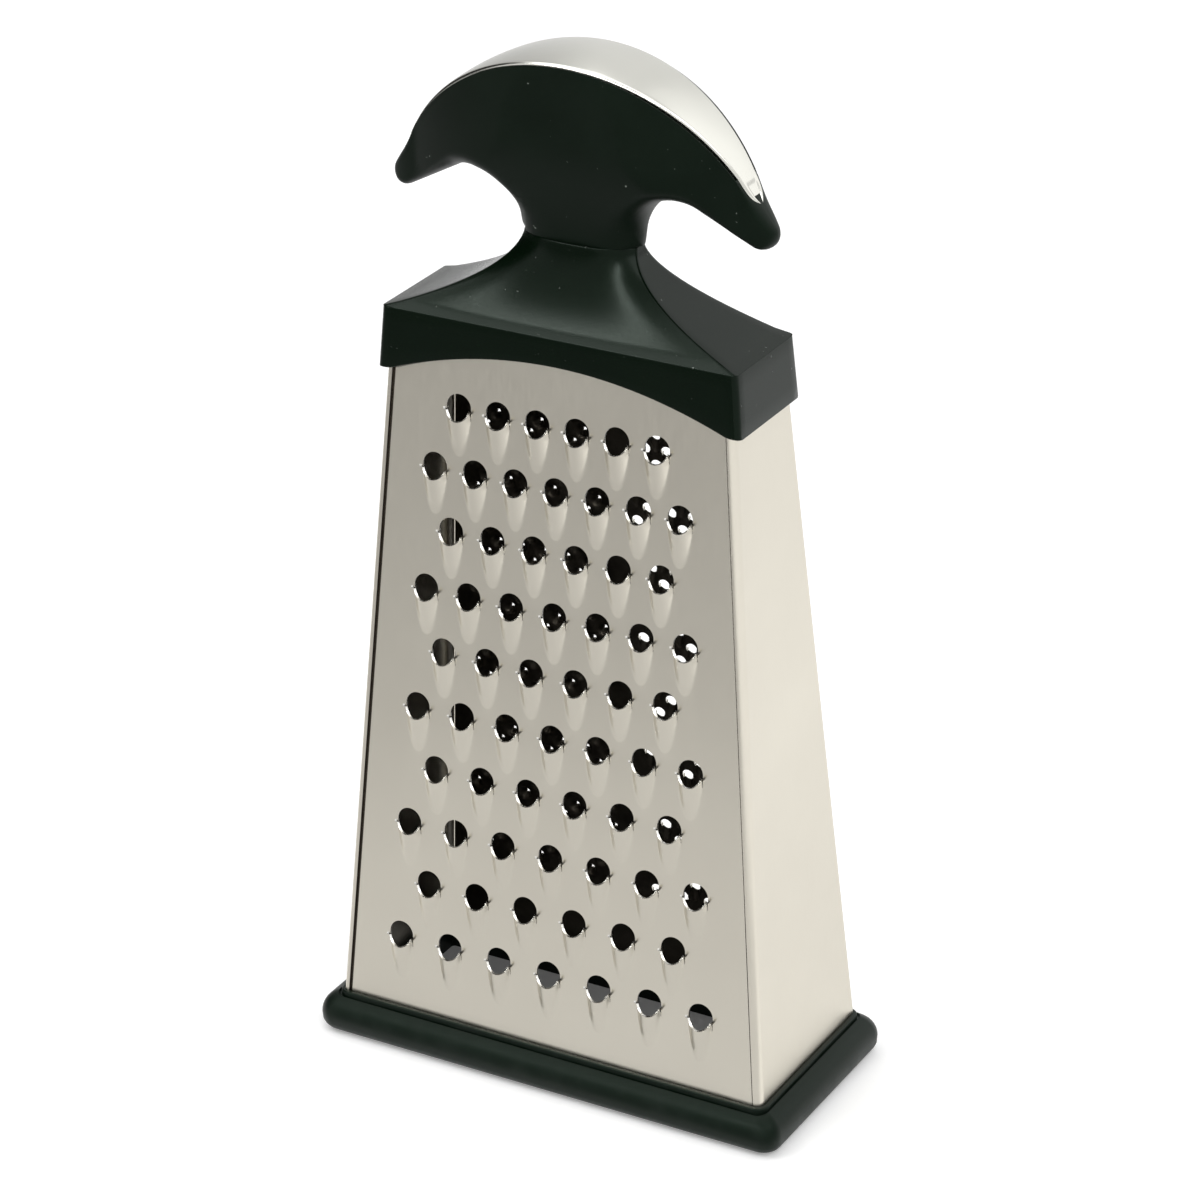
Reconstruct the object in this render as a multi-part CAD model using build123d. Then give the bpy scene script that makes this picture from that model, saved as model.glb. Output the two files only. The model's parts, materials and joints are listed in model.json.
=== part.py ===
from build123d import *
import math
import os

# A tapered box grater: four thin steel walls on a rubber foot ring, under a flared
# plastic cap that carries an anchor-shaped soft grip with a polished inlay on top.
# Millimetres. Z is up, Z = 0 is the table, the coarse face looks towards -Y.

# Steel walls. Each wall leans inwards, so width and depth shrink with height.
WIDTH_AT_TABLE = 117.0
DEPTH_AT_TABLE = 50.6
SIDE_LEAN = 0.0766
FACE_LEAN = 0.0677
SHEET = 0.5
WALL_BOTTOM = 4.0
FACE_TOP = 187.5
BEND_RADIUS = 2.0
FIT_GAP = 0.15

# Length of a cutting shape that goes right through the part.
THROUGH = 130.0

# Corner seam: one edge of each side wraps round the neighbouring face's stepped edge.
FOLD_PROUD = 0.1
FOLD_WIDTH = 1.3
FOLD_RADIUS = 0.8
HEM = 2 * SHEET
STEP_WIDTH = 2.2
STEP_DEPTH = HEM - FOLD_PROUD

# Inward flange at the top of each side, clamped inside the cap.
FLANGE_TOP = 181.0
FLANGE_LENGTH = 9.0
FLANGE_HALF_WIDTH = 8.0

# Coarse teeth: ten staggered rows of six and seven, opening out towards the foot.
COARSE_ROWS = 10
COARSE_PER_ROW = 6
COARSE_TOP_ROW = 168.7
COARSE_ROW_PITCH = 15.36
COARSE_TOP_PITCH = 10.35
COARSE_PITCH_GROWTH = 0.375
COARSE_HOLE = 3.2
COARSE_RISE = 2.4
COARSE_SHOULDER = 0.68
COARSE_REACH = 11.8
COARSE_SIDES = 8

# Medium teeth and rasp points share the back face, with a plain strip between.
MEDIUM_TOP_ROW = 158.0
MEDIUM_ROWS = 33
MEDIUM_ROW_PITCH = 3.95
MEDIUM_HOLE = 1.9
MEDIUM_RISE = 1.3
MEDIUM_REACH = 4.2
RASP_TOP_ROW = 158.5
RASP_ROWS = 37
RASP_ROW_PITCH = 3.5
RASP_BASE = 2.3
RASP_PEAK = 1.9
BACK_TOP_PITCH = 5.8
BACK_PITCH_GROWTH = 0.0118
STRIP_HALF_WIDTH = 4.0
STRIP_CENTRE = 1.5
BACK_MARGIN = 6.5

# Foot ring.
RING_HALF = (63.5, 29.4)
RING_CORNER = 4.5
RING_HEIGHT = 10.2
RING_LIP_TOP = 10.9
RING_LIP = 1.2
RING_TOP_ROUND = 5.6
RING_BOTTOM_ROUND = 3.8
RING_GROOVE = 1.7
RING_INNER_WALL = 2.0
RING_INNER_TOP = 8.0
CORNER_FACETS = 3

# Cap: a skirt over the walls, then a flare with four ridges up to the neck.
SKIRT_BOTTOM = 174.9
SKIRT_TOP = 190.2
SKIRT_BOTTOM_HALF = (47.1, 14.9)
SKIRT_TOP_HALF = (45.85, 14.1)
SKIRT_CORNER = 2.0
SKIRT_BEVEL = 0.5
SKIRT_ARCH_TOP = 183.6
SKIRT_ARCH_RADIUS = 121.0
FLARE_TOP = 210.7
FLARE_ROOF = 203.0
FLARE_WALL = 2.3
NECK_HALF_WIDTH = 14.5
NECK_RIDGE = 1.8
NECK_FRONT = 6.9
FLARE_SPREAD = 30.8
FLARE_DEPTH_SPREAD = 11.8
FLARE_FRONT_SPREAD = 6.8
FLARE_CURVE = 1.87
FLARE_DEPTH_CURVE = 1.15
FLARE_STEPS = 6
ROOF_STEPS = 3
SOCKET_FLOOR = 206.6

# Clamp frame and its screws, inside the cap.
CLAMP_THICKNESS = 2.5
CLAMP_WINDOW = (33.0, 8.5)
CLAMP_CORNER = 3.0
CLAMP_SCREW_X = 38.2
CLAMP_SCREW = 1.75
CLAMP_SCREW_HEAD = 3.3
CLAMP_SCREW_HEAD_HEIGHT = 2.2
CLAMP_SCREW_LENGTH = 9.0
BOSS = 4.0
BOSS_ROOT = 1.0
HOLE_PLAY = 0.2
ROD_SIDES = 8

# Grip.
SEAM_TOP = 252.8
SEAM_RADIUS = 51.2
HORN_TIP = (43.4, 219.8)
FINGER_ARCH = (26.0, 212.9)
FINGER_ARCH_RADIUS = 10.5
UNDERSIDE_SLOPE = 32.0
TIP_LOW_ANGLE = -50.0
GRIP_PLAN = (48.5, 10.7, 6.0)
CRESCENT_FLOOR = 221.5
CRESCENT_PROFILE = ((7.9, 213.5), (10.1, 228.5), (10.8, 242.8))
NECK_RIDGE_GROWTH = 0.5
NECK_FRONT_GROWTH = 0.205
NECK_SEAM_END = 0.3
NECK_END = 0.8
NECK_STEPS = 3
NECK_ROOT = 1.5
FRONT_FACETS = 4
END_FACETS = 3

# Polished inlay along the crest of the grip.
INLAY_PLAN = (44.9, 9.98, 5.5)
CREST_TOP = 254.3
CREST_RADIUS = 49.9
CREST_CROWN = 1.5
SEAT_DEPTH = 2.3
PEG_X = 16.0
PEG = 3.0
PEG_TOP = 250.0
PEG_BOTTOM = 240.0

# Handle core, its screw and washer.
CORE_HALF = (9.3, 3.4)
CORE_CHAMFER = 2.0
CORE_STEM_LENGTH = 37.0
CORE_BAR_TOP = 45.0
CORE_BAR_BOTTOM = 40.0
CORE_BAR_HALF_LENGTH = 30.0
HANDLE_SCREW = 2.0
HANDLE_SCREW_LENGTH = 24.0
HANDLE_SCREW_BORE = 20.0
HANDLE_SCREW_HEAD = 4.0
HANDLE_SCREW_HEAD_HEIGHT = 2.6
WASHER = 5.0
WASHER_THICKNESS = 1.0


def half_width(z):
    """Half the outside width of the walls at height z."""
    return WIDTH_AT_TABLE / 2 - SIDE_LEAN * z


def half_depth(z):
    """Half the outside depth of the walls at height z."""
    return DEPTH_AT_TABLE / 2 - FACE_LEAN * z


def crossed(front_view, side_view):
    """The solid with these two outlines, seen from the front and from the right."""
    front = extrude(Plane.XZ * make_face(front_view), THROUGH, both=True)
    side = extrude(Plane.YZ * make_face(side_view), THROUGH, both=True)
    return front & side


def tapered_block(low, high, low_half, high_half):
    """A block between two level rectangles, given by half their width and depth."""
    views = []
    for low_end, high_end in zip(low_half, high_half):
        left = [(-low_end, low), (-high_end, high)]
        right = [(high_end, high), (low_end, low)]
        views.append(Polyline(*left, *right, close=True))
    return crossed(*views)


def wall_block(low, high, inset):
    """The space inside the four leaning walls, each moved inwards by inset."""
    halves = [(half_width(z) - inset, half_depth(z) - inset) for z in (low, high)]
    return tapered_block(low, high, *halves)


def skinned(loops):
    """Solid over a run of closed loops with as many points each, in three-sided facets."""
    faces = [Face(Wire.make_polygon(loop)) for loop in (loops[0], loops[-1])]
    for low, high in zip(loops, loops[1:]):
        for step in range(len(low)):
            near, far = step - 1, step
            faces.append(Face(Wire.make_polygon([low[near], low[far], high[far]])))
            faces.append(Face(Wire.make_polygon([low[near], high[far], high[near]])))
    return Solid(Shell(faces))


def oval(half_length, half_breadth, end_radius):
    """A long flat oval of four arcs, tangent where they meet."""
    reach = half_length - end_radius
    rise = half_breadth - end_radius
    side_radius = (reach**2 / rise + end_radius + half_breadth) / 2
    sink = side_radius - half_breadth
    scale = side_radius / math.hypot(reach, sink)
    meet = (reach * scale, (sink * scale) - sink)
    ends = [(sign * meet[0], meet[1]) for sign in (-1, 1)]
    low_ends = [(x, -y) for x, y in reversed(ends)]
    return make_face(
        [
            ThreePointArc(ends[0], (0, half_breadth), ends[1]),
            ThreePointArc(ends[1], (half_length, 0), low_ends[0]),
            ThreePointArc(low_ends[0], (0, -half_breadth), low_ends[1]),
            ThreePointArc(low_ends[1], (-half_length, 0), ends[0]),
        ]
    )


def rod(radius, length):
    """A plain round rod for a small fixing, with as few flats as look round."""
    return extrude(RegularPolygon(radius, ROD_SIDES), length)


def upright_screw(radius, head_radius, head_height, length, seat):
    """A plain screw pointing up, with the top of its head at height seat."""
    shank = Pos(0, 0, seat) * rod(radius, length)
    head = Pos(0, 0, seat - head_height) * rod(head_radius, head_height)
    return shank + head


# Steel walls

def face_plane(side):
    """Outer plane of the front face (side -1) or the back face (side +1)."""
    normal = Vector(0, side, FACE_LEAN).normalized()
    return Plane(origin=(0, side * half_depth(0), 0), x_dir=(-side, 0, 0), z_dir=normal)


def along_face(z):
    """Distance up a leaning face for a height z."""
    return z * math.hypot(1, FACE_LEAN)


def face_strip(plane, left, right, depth, thickness):
    """A strip of a face between two lines that follow the corners.

    left is the distance from the left corner, right gives the other edge at a height.
    """
    heights = (WALL_BOTTOM + FIT_GAP, FACE_TOP)
    left_edge = [(left - half_width(z), along_face(z)) for z in heights]
    right_edge = [(right(z), along_face(z)) for z in reversed(heights)]
    outline = Polyline(*left_edge, *right_edge, close=True)
    return extrude(plane.offset(-depth) * make_face(outline), -thickness)


def face_sheet(side):
    """A face's flat sheet, stepped down along its left edge to lie under the fold."""
    plane = face_plane(side)
    main = face_strip(plane, STEP_WIDTH, lambda z: half_width(z) - BEND_RADIUS, 0, SHEET)
    riser_end = STEP_WIDTH + SHEET
    riser = face_strip(
        plane, STEP_WIDTH, lambda z: riser_end - half_width(z), 0, STEP_DEPTH + SHEET
    )
    tuck = face_strip(
        plane, SHEET + FIT_GAP, lambda z: riser_end - half_width(z), STEP_DEPTH, SHEET
    )
    return main + riser + tuck


def pressed_ramp(arch, reach, depth):
    """Ramp for one tooth, its raised mouth on the cross line through the origin.

    arch is half the raised section at the mouth, as (distance from the middle, height)
    from the sheet up. The section slides down to the sheet over the reach, so the ramp
    narrows away from the mouth. The ramp is kept from depth below the sheet's face up.
    """
    top = arch[-1][1]
    slope = top / reach
    floor = -SHEET - top
    left = [(-x, z) for x, z in reversed(arch) if x > 0]
    section = Polyline((arch[0][0], floor), *arch, *left, (-arch[0][0], floor), close=True)
    ramp = extrude(
        Plane.XZ * make_face(section), reach * math.hypot(1, slope), dir=(0, -1, -slope)
    )
    room = Pos(0, -reach / 2, (top - depth) / 2) * Box(4 * arch[0][0], reach, top + depth)
    return ramp & room


def coarse_tooth():
    """Eight-sided hole over a hollow ramp whose ridges start at corners of the hole."""
    shoulder = COARSE_HOLE * math.sqrt(0.5)
    arch = [
        (COARSE_HOLE, 0.0),
        (shoulder, COARSE_SHOULDER * COARSE_RISE),
        (0.0, COARSE_RISE),
    ]
    hole = extrude(RegularPolygon(COARSE_HOLE, COARSE_SIDES), 4 * COARSE_RISE, both=True)
    hollow = Pos(0, 0, -SHEET) * pressed_ramp(arch, COARSE_REACH, SHEET)
    return pressed_ramp(arch, COARSE_REACH, SHEET), [hollow, hole]


def medium_tooth():
    """Three-sided hole with a flat lower edge, over a ramp with a single ridge."""
    hole = extrude(RegularPolygon(MEDIUM_HOLE, 3, rotation=90), 4 * MEDIUM_RISE, both=True)
    lower_edge = hole.bounding_box().min.Y
    arch = [(hole.bounding_box().max.X, 0.0), (0.0, MEDIUM_RISE)]
    return Pos(0, lower_edge, 0) * pressed_ramp(arch, MEDIUM_REACH, SHEET / 2), [hole]


def rasp_point():
    """Raised three-sided point; too many and too small here to be pierced as well."""
    base = RegularPolygon(RASP_BASE, 3, rotation=90)
    return loft([base, Vertex(0, 0, RASP_PEAK)], ruled=True), []


def coarse_places():
    """Centre of each coarse hole on the front face."""
    for row in range(COARSE_ROWS):
        count = COARSE_PER_ROW + row % 2
        pitch = COARSE_TOP_PITCH + COARSE_PITCH_GROWTH * row
        z = COARSE_TOP_ROW - COARSE_ROW_PITCH * row
        for column in range(count):
            yield (column - (count - 1) / 2) * pitch, along_face(z)


def zone_places(top_row, rows, row_pitch, side):
    """Centres in one zone of the back face, staggered and fanning out downwards.

    side is -1 for the zone left of the plain strip, seen from behind, and +1 for right.
    """
    for row in range(rows):
        z = top_row - row_pitch * row
        pitch = BACK_TOP_PITCH + BACK_PITCH_GROWTH * (top_row - z)
        start = STRIP_HALF_WIDTH + side * STRIP_CENTRE + (0.25 + row % 2 * 0.5) * pitch
        distance = start
        while distance < half_width(z) - BACK_MARGIN:
            yield side * distance, along_face(z)
            distance += pitch


def press(blank, plane, tooth, places):
    """Add one tooth to a blank at each place on its outer plane."""
    metal, cuts = tooth
    added = []
    removed = []
    for x, y in places:
        place = plane.location * Pos(x, y, 0)
        added.append(place * metal)
        removed += [place * cut for cut in cuts]
    return blank + added - removed


def front_panel():
    return press(face_sheet(-1), face_plane(-1), coarse_tooth(), coarse_places())


def back_panel():
    plane = face_plane(1)
    medium = zone_places(MEDIUM_TOP_ROW, MEDIUM_ROWS, MEDIUM_ROW_PITCH, -1)
    rasp = zone_places(RASP_TOP_ROW, RASP_ROWS, RASP_ROW_PITCH, 1)
    sheet = press(face_sheet(1), plane, medium_tooth(), medium)
    return press(sheet, plane, rasp_point(), rasp)


def corner_run(edges, side):
    """A level section at the foot of the walls, run up along a right-hand corner."""
    climb = (-SIDE_LEAN, -side * FACE_LEAN, 1)
    section = Plane.XY.offset(WALL_BOTTOM) * make_face(edges)
    return extrude(section, (FLANGE_TOP - WALL_BOTTOM) * math.hypot(*climb), dir=climb)


def corner_bend():
    """The bend at the front, where the side turns into the coarse face."""
    x = half_width(WALL_BOTTOM)
    y = -half_depth(WALL_BOTTOM)
    middle = (x - BEND_RADIUS, y + BEND_RADIUS)
    arcs = []
    for radius in (BEND_RADIUS, BEND_RADIUS - SHEET):
        halfway = radius * math.sqrt(0.5)
        front = (middle[0], middle[1] - radius)
        corner = (middle[0] + halfway, middle[1] - halfway)
        arcs.append(ThreePointArc(front, corner, (middle[0] + radius, middle[1])))
    ends = [Line(arcs[0] @ end, arcs[1] @ end) for end in (0, 1)]
    return corner_run([arcs[0], ends[1], arcs[1], ends[0]], -1)


def corner_fold():
    """The folded hem at the back, wrapped round the edge of the back face."""
    x = half_width(WALL_BOTTOM)
    y = half_depth(WALL_BOTTOM) + FOLD_PROUD
    halfway = FOLD_RADIUS * (1 - math.sqrt(0.5))
    arc = ThreePointArc((x, y - FOLD_RADIUS), (x - halfway, y - halfway), (x - FOLD_RADIUS, y))
    hem = Polyline(arc @ 1, (x - FOLD_WIDTH, y), (x - FOLD_WIDTH, y - HEM), (x, y - HEM), arc @ 0)
    return corner_run([arc, hem], 1)


def side_flat():
    """The flat of a side wall, from the bend to the hem."""
    heights = (WALL_BOTTOM, FLANGE_TOP)
    outer = [(half_width(z), z) for z in heights]
    inner = [(x - SHEET, z) for x, z in reversed(outer)]
    front = [(BEND_RADIUS - half_depth(z), z) for z in heights]
    back = [(half_depth(z) + FOLD_PROUD - HEM, z) for z in reversed(heights)]
    return crossed(Polyline(*outer, *inner, close=True), Polyline(*front, *back, close=True))


def right_side_panel():
    outer = half_width(FLANGE_TOP) - SHEET / 2
    middle = outer - FLANGE_LENGTH / 2
    level = FLANGE_TOP - SHEET / 2
    flange = Pos(middle, 0, level) * Box(FLANGE_LENGTH, 2 * FLANGE_HALF_WIDTH, SHEET)
    hole = Pos(CLAMP_SCREW_X, 0, level - SHEET) * rod(CLAMP_SCREW + HOLE_PLAY, 2 * SHEET)
    return side_flat() + corner_bend() + corner_fold() + flange - hole


def left_side_panel():
    return right_side_panel().rotate(Axis.Z, 180)


# Foot

def rounded_loop(inset, z):
    """Points round the foot ring's outline, moved inwards by inset, at height z."""
    corner = RING_CORNER - inset / 2
    points = []
    for number, (across, along) in enumerate(((1, 1), (-1, 1), (-1, -1), (1, -1))):
        for step in range(CORNER_FACETS + 1):
            turn = math.radians(90 * (number + step / CORNER_FACETS))
            x = across * (RING_HALF[0] - inset - corner) + corner * math.cos(turn)
            y = along * (RING_HALF[1] - inset - corner) + corner * math.sin(turn)
            points.append((x, y, z))
    return points


def foot_ring():
    """Rubber bead with a groove for the walls' lower edges and a thin lip up the steel."""
    loops = []
    for radius, centre, turns in (
        (RING_BOTTOM_ROUND, RING_BOTTOM_ROUND, (-90, -60, -30)),
        (RING_TOP_ROUND, RING_HEIGHT - RING_TOP_ROUND, (0, 30, 60, 90)),
    ):
        for turn in turns:
            inset = radius * (1 - math.cos(math.radians(turn)))
            height = centre + radius * math.sin(math.radians(turn))
            loops.append(rounded_loop(inset, height))
    bead = skinned(loops)
    lip = wall_block(RING_INNER_TOP, RING_LIP_TOP, -RING_LIP - FIT_GAP)
    walls = wall_block(WALL_BOTTOM, 2 * RING_LIP_TOP, -FIT_GAP)
    inner_wall = wall_block(0, RING_INNER_TOP, RING_GROOVE)
    window = wall_block(-RING_HEIGHT, 3 * RING_LIP_TOP, RING_GROOVE + RING_INNER_WALL)
    return bead + lip - (walls - inner_wall) - window


# Cap

def bow(half, rise, facets):
    """Points from -half to half along a side that bows out by rise, fullest near its ends."""
    places = [2 * step / facets - 1 for step in range(facets + 1)]
    return [(half * place, rise * (1 - abs(place) ** 3)) for place in places]


def ridged_section(z, half, ridge, front, end=0.0):
    """Level slice with four ridges at (half, ridge), bowed out to front and by end."""
    right = [(half + rise, y) for y, rise in bow(ridge, end, END_FACETS)][1:-1] if end else []
    near = [(x, -ridge - rise) for x, rise in bow(half, front - ridge, FRONT_FACETS)]
    return [(x, y, z) for x, y in near + right] + [(-x, -y, z) for x, y in near + right]


def flare_section(z, inset):
    """Slice of the flare at height z, moved inwards by inset."""
    spread = 1 - (z - SKIRT_TOP) / (FLARE_TOP - SKIRT_TOP)
    half = NECK_HALF_WIDTH + FLARE_SPREAD * spread**FLARE_CURVE - inset
    ridge = NECK_RIDGE + FLARE_DEPTH_SPREAD * spread**FLARE_DEPTH_CURVE - inset
    front = NECK_FRONT + FLARE_FRONT_SPREAD * spread**FLARE_CURVE - inset
    return ridged_section(z, half, ridge, front)


def flare(low, high, steps, inset):
    heights = [low + (high - low) * step / steps for step in range(steps + 1)]
    return skinned([flare_section(z, inset) for z in heights])


def cap_bosses():
    """Two round bosses for the clamp screws, down to the flanges of the side panels."""
    bosses = []
    for x in (-CLAMP_SCREW_X, CLAMP_SCREW_X):
        post = rod(BOSS, SKIRT_TOP - FLANGE_TOP + BOSS_ROOT)
        pilot = rod(CLAMP_SCREW, CLAMP_SCREW_LENGTH - CLAMP_THICKNESS)
        bosses.append(Pos(x, 0, FLANGE_TOP) * (post - pilot))
    return bosses


def top_cap():
    skirt = tapered_block(SKIRT_BOTTOM, SKIRT_TOP, SKIRT_BOTTOM_HALF, SKIRT_TOP_HALF)
    upright = skirt.edges().filter_by(lambda edge: edge.bounding_box().size.Z > SKIRT_BEVEL)
    skirt = fillet(upright, SKIRT_CORNER)
    skirt = chamfer(skirt.faces().sort_by(Axis.Z)[-1].edges(), SKIRT_BEVEL)
    outside = skirt + flare(SKIRT_TOP, FLARE_TOP, FLARE_STEPS, 0.0)
    hollow = wall_block(SKIRT_BOTTOM - FLARE_WALL, FACE_TOP + FIT_GAP, -FIT_GAP)
    roof = flare(SKIRT_TOP, FLARE_ROOF, ROOF_STEPS, FLARE_WALL)
    throat = wall_block(FACE_TOP, SKIRT_TOP + FIT_GAP, FLARE_WALL)
    arch_middle = SKIRT_ARCH_TOP - SKIRT_ARCH_RADIUS
    arch = Pos(0, 0, arch_middle) * Rot(90, 0, 0) * Cylinder(SKIRT_ARCH_RADIUS, THROUGH)
    socket = Pos(0, 0, SOCKET_FLOOR) * extrude(core_outline(HOLE_PLAY / 2), FLARE_TOP)
    screw_hole = Pos(0, 0, SKIRT_TOP) * rod(HANDLE_SCREW + HOLE_PLAY, FLARE_TOP - SKIRT_TOP)
    shell = outside - hollow - roof - throat - arch - socket - screw_hole
    return shell + cap_bosses()


# Clamp frame

def clamp_frame():
    """Flat frame inside the walls, screwed up against the flanges of the side panels."""
    top = FLANGE_TOP - SHEET
    bottom = top - CLAMP_THICKNESS
    plate = wall_block(bottom, top, SHEET + FIT_GAP)
    upright = plate.edges().filter_by(lambda edge: edge.length < 2 * CLAMP_THICKNESS)
    plate = chamfer(upright, CLAMP_CORNER)
    window = Pos(0, 0, top) * Box(2 * CLAMP_WINDOW[0], 2 * CLAMP_WINDOW[1], THROUGH)
    hole = rod(CLAMP_SCREW + HOLE_PLAY, 3 * CLAMP_THICKNESS)
    low = bottom - CLAMP_THICKNESS
    holes = [Pos(x, 0, low) * hole for x in (-CLAMP_SCREW_X, CLAMP_SCREW_X)]
    return plate - window - holes


def clamp_screws():
    seat = FLANGE_TOP - SHEET - CLAMP_THICKNESS
    length = CLAMP_SCREW_LENGTH
    screw = upright_screw(CLAMP_SCREW, CLAMP_SCREW_HEAD, CLAMP_SCREW_HEAD_HEIGHT, length, seat)
    return Compound([Pos(x, 0, 0) * screw for x in (-CLAMP_SCREW_X, CLAMP_SCREW_X)])


# Handle

def core_outline(play):
    size = (2 * (CORE_HALF[0] + play), 2 * (CORE_HALF[1] + play))
    return chamfer(Rectangle(*size).vertices(), CORE_CHAMFER)


def seam_centre():
    return SEAM_TOP - SEAM_RADIUS


def crescent_outline():
    """Front view of the grip above the neck: seam arc, horn tips and finger arches."""
    tip_x, tip_z = HORN_TIP
    centre = seam_centre()
    reach = math.hypot(tip_x, tip_z - centre)
    tip_radius = SEAM_RADIUS - reach
    outward = (tip_x / reach, (tip_z - centre) / reach)
    seam_end = (outward[0] * SEAM_RADIUS, centre + outward[1] * SEAM_RADIUS)
    fall = math.radians(UNDERSIDE_SLOPE)
    tip_end = (tip_x - tip_radius * math.sin(fall), tip_z - tip_radius * math.cos(fall))
    low = math.radians(TIP_LOW_ANGLE)
    tip_low = (tip_x + tip_radius * math.cos(low), tip_z + tip_radius * math.sin(low))
    arch_x, arch_z = FINGER_ARCH
    radius = FINGER_ARCH_RADIUS
    arch_end = (arch_x + radius * math.sin(fall), arch_z + radius * math.cos(fall))
    root = (neck_half(CRESCENT_FLOOR), CRESCENT_FLOOR)
    right = [
        ThreePointArc(seam_end, tip_low, tip_end),
        Line(tip_end, arch_end),
        ThreePointArc(arch_end, (arch_x, arch_z + radius), root),
    ]
    left = [mirror(edge, Plane.YZ) for edge in right]
    seam = ThreePointArc((-seam_end[0], seam_end[1]), (0, SEAM_TOP), seam_end)
    floor = Line(root, (-root[0], root[1]))
    return make_face([seam, *right, floor, *left])


def neck_half(z):
    """Half the neck's width at height z, along the finger arch."""
    rise = max(z - FINGER_ARCH[1], 0.0)
    return FINGER_ARCH[0] - math.sqrt(FINGER_ARCH_RADIUS**2 - rise**2)


def crescent():
    """The grip's crescent: its front view, its plan, and a waist towards the neck."""
    body = extrude(Plane.XZ * crescent_outline(), 2 * GRIP_PLAN[1], both=True)
    plan = Pos(0, 0, CRESCENT_FLOOR) * extrude(oval(*GRIP_PLAN), GRIP_PLAN[0], both=True)
    back = ThreePointArc(*CRESCENT_PROFILE)
    front = mirror(back, Plane.YZ)
    depth = CRESCENT_PROFILE[-1][0]
    top = Polyline(back @ 1, (depth, CREST_TOP), (-depth, CREST_TOP), front @ 1)
    profile = make_face([back, top, front, Line(front @ 0, back @ 0)])
    return body & plan & extrude(Plane.YZ * profile, THROUGH, both=True)


def neck_slice(z, half, end):
    """Slice of the neck at height z, deeper the higher it lies."""
    ridge = NECK_RIDGE + NECK_RIDGE_GROWTH * (z - FLARE_TOP)
    front = NECK_FRONT + NECK_FRONT_GROWTH * (z - FLARE_TOP)
    return ridged_section(z, half - end, ridge, front, end)


def grip_neck():
    """Neck from the cap's seam up into the crescent, flaring out under the fingers."""
    slices = [neck_slice(FLARE_TOP, NECK_HALF_WIDTH + NECK_SEAM_END, NECK_SEAM_END)]
    for step in range(1, NECK_STEPS + 1):
        z = FLARE_TOP + (CRESCENT_FLOOR - FLARE_TOP) * step / NECK_STEPS
        slices.append(neck_slice(z, neck_half(z), NECK_END))
    root = CRESCENT_FLOOR + NECK_ROOT
    slices.append(neck_slice(root, neck_half(CRESCENT_FLOOR), NECK_END))
    return skinned(slices)


def crown():
    """Drum about a cross axis, full in its middle third and falling off to the edges."""
    half = INLAY_PLAN[1]
    rim = [(-half, CREST_RADIUS - CREST_CROWN), (-half / 3, CREST_RADIUS)]
    turned = [(-y, radius) for y, radius in reversed(rim)]
    drum = revolve(make_face(Polyline(*rim, *turned, (half, 0), (-half, 0), close=True)), Axis.X)
    return Pos(0, 0, CREST_TOP - CREST_RADIUS) * Rot(0, 0, 90) * drum


def inlay_space():
    """Room that the inlay takes in the grip, from its seat upwards."""
    prism = Pos(0, 0, HORN_TIP[1]) * extrude(oval(*INLAY_PLAN), INLAY_PLAN[0])
    drum = Rot(90, 0, 0) * Cylinder(CREST_RADIUS - SEAT_DEPTH, THROUGH)
    return prism - Pos(0, 0, CREST_TOP - CREST_RADIUS) * drum


def pegs():
    """Square pegs that hold the inlay in the core."""
    peg = Pos(0, 0, (PEG_TOP + PEG_BOTTOM) / 2) * Box(PEG, PEG, PEG_TOP - PEG_BOTTOM)
    return [Pos(x, 0, 0) * peg for x in (-PEG_X, PEG_X)]


def handle_trim():
    """Polished inlay: a crowned strip with rounded ends and two pegs below."""
    return (inlay_space() & crown()) + pegs()


def core_body():
    """Rigid T inside the grip: a curved bar on a flat stem that sits in the cap."""
    stem = Pos(0, 0, SOCKET_FLOOR) * extrude(core_outline(0), CORE_STEM_LENGTH)
    ring = Circle(CORE_BAR_TOP) - Circle(CORE_BAR_BOTTOM)
    upper = ring & (Pos(0, CORE_BAR_TOP) * Rectangle(2 * CORE_BAR_HALF_LENGTH, CORE_BAR_TOP))
    bar = Pos(0, 0, seam_centre()) * extrude(Plane.XZ * upper, CORE_HALF[1], both=True)
    return stem + bar


def handle_core():
    bore = Pos(0, 0, SOCKET_FLOOR) * rod(HANDLE_SCREW, HANDLE_SCREW_BORE)
    return core_body() - bore - pegs()


def handle_grip():
    """Soft anchor-shaped grip moulded over the core, with a seat for the inlay."""
    return crescent() + grip_neck() - core_body() - inlay_space() - pegs()


def handle_screw():
    seat = FLARE_ROOF - WASHER_THICKNESS
    length = HANDLE_SCREW_LENGTH
    return upright_screw(HANDLE_SCREW, HANDLE_SCREW_HEAD, HANDLE_SCREW_HEAD_HEIGHT, length, seat)


def handle_washer():
    ring = rod(WASHER, WASHER_THICKNESS) - rod(HANDLE_SCREW + HOLE_PLAY, WASHER_THICKNESS)
    return Pos(0, 0, FLARE_ROOF - WASHER_THICKNESS) * ring


PARTS = {
    "front_panel": front_panel,
    "back_panel": back_panel,
    "right_side_panel": right_side_panel,
    "left_side_panel": left_side_panel,
    "foot_ring": foot_ring,
    "top_cap": top_cap,
    "clamp_frame": clamp_frame,
    "clamp_screws": clamp_screws,
    "handle_core": handle_core,
    "handle_grip": handle_grip,
    "handle_trim": handle_trim,
    "handle_screw": handle_screw,
    "handle_washer": handle_washer,
}

os.makedirs("parts", exist_ok=True)
for name, make in PARTS.items():
    export_step(make(), f"parts/{name}.step")
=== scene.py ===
import json
import math

import bmesh
import bpy
import numpy as np
from mathutils import Matrix, Vector
from mathutils.geometry import delaunay_2d_cdt


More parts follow.
